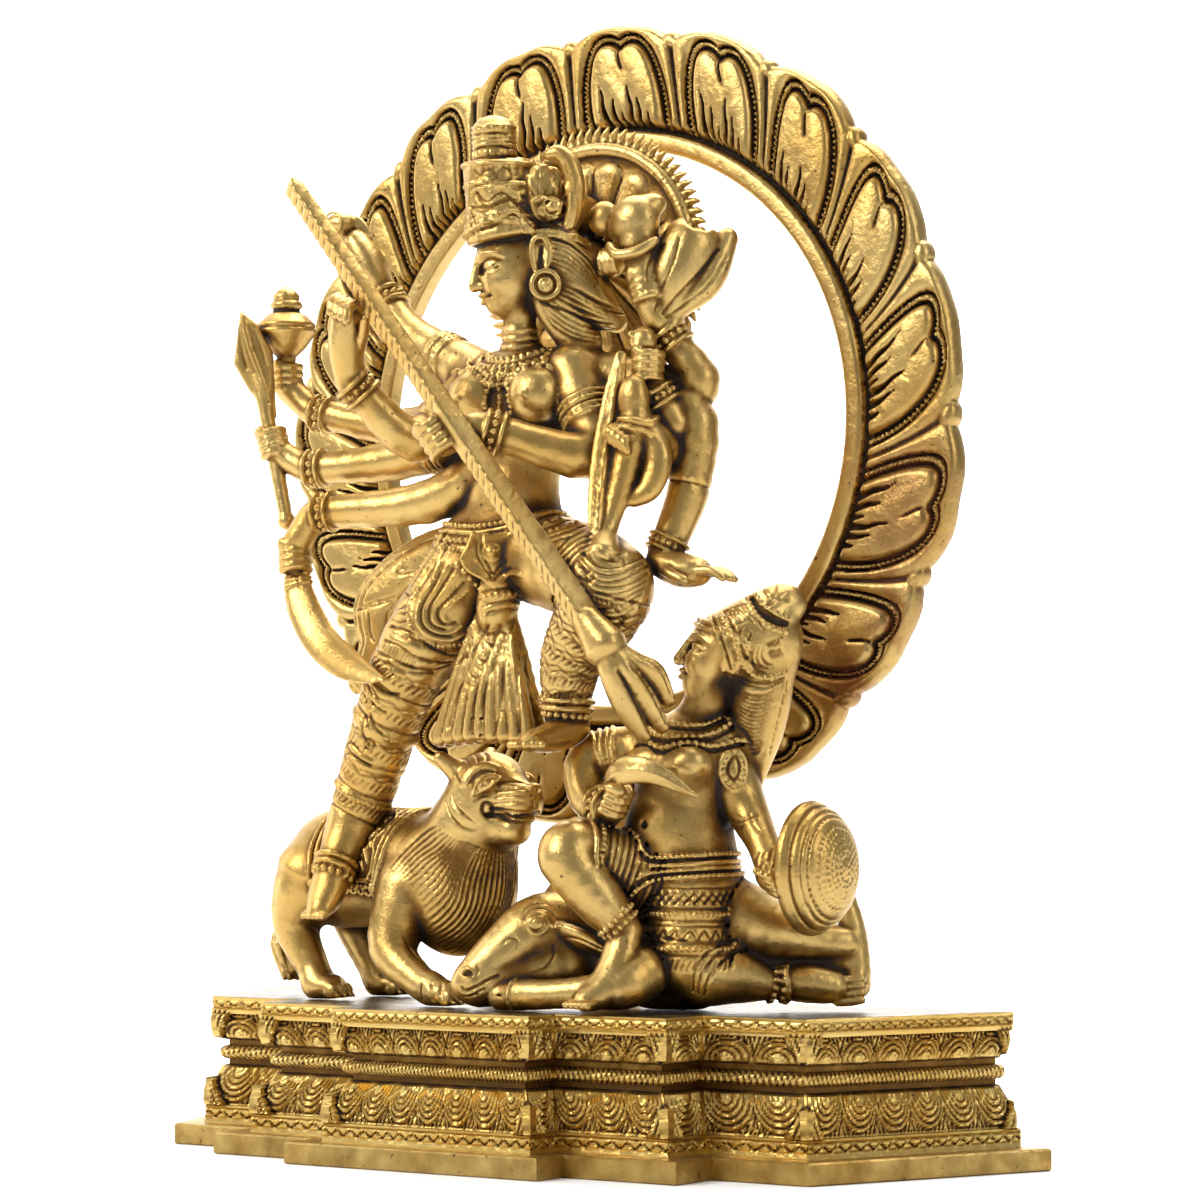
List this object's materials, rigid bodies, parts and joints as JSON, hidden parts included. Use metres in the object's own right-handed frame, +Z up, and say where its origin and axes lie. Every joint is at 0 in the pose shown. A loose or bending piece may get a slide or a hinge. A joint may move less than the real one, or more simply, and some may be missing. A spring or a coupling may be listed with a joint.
{
  "type": "brass goddess figure",
  "caption": "Cast brass figure of a many-armed goddess on a lion, spearing a kneeling demon, on a stepped plinth before an upright petalled ring.",
  "frame": {"origin": "middle of the plinth's underside, which is also the bottom centre of the bounding box", "axes": "+Z up, -Y the front that the goddess's body faces, +X towards the demon and the shield"},
  "size_m": [0.316, 0.121, 0.3709],
  "materials": {
    "aged_brass": "worn polish with brown patina in the carving",
    "polished_brass": "hand polish with brown patina in the carving"
  },
  "bodies": {
    "root": {"plinth": "aged_brass", "ring": "aged_brass", "lion": "polished_brass", "demon_and_buffalo": "polished_brass", "goddess": "polished_brass"}
  },
  "joints": []
}
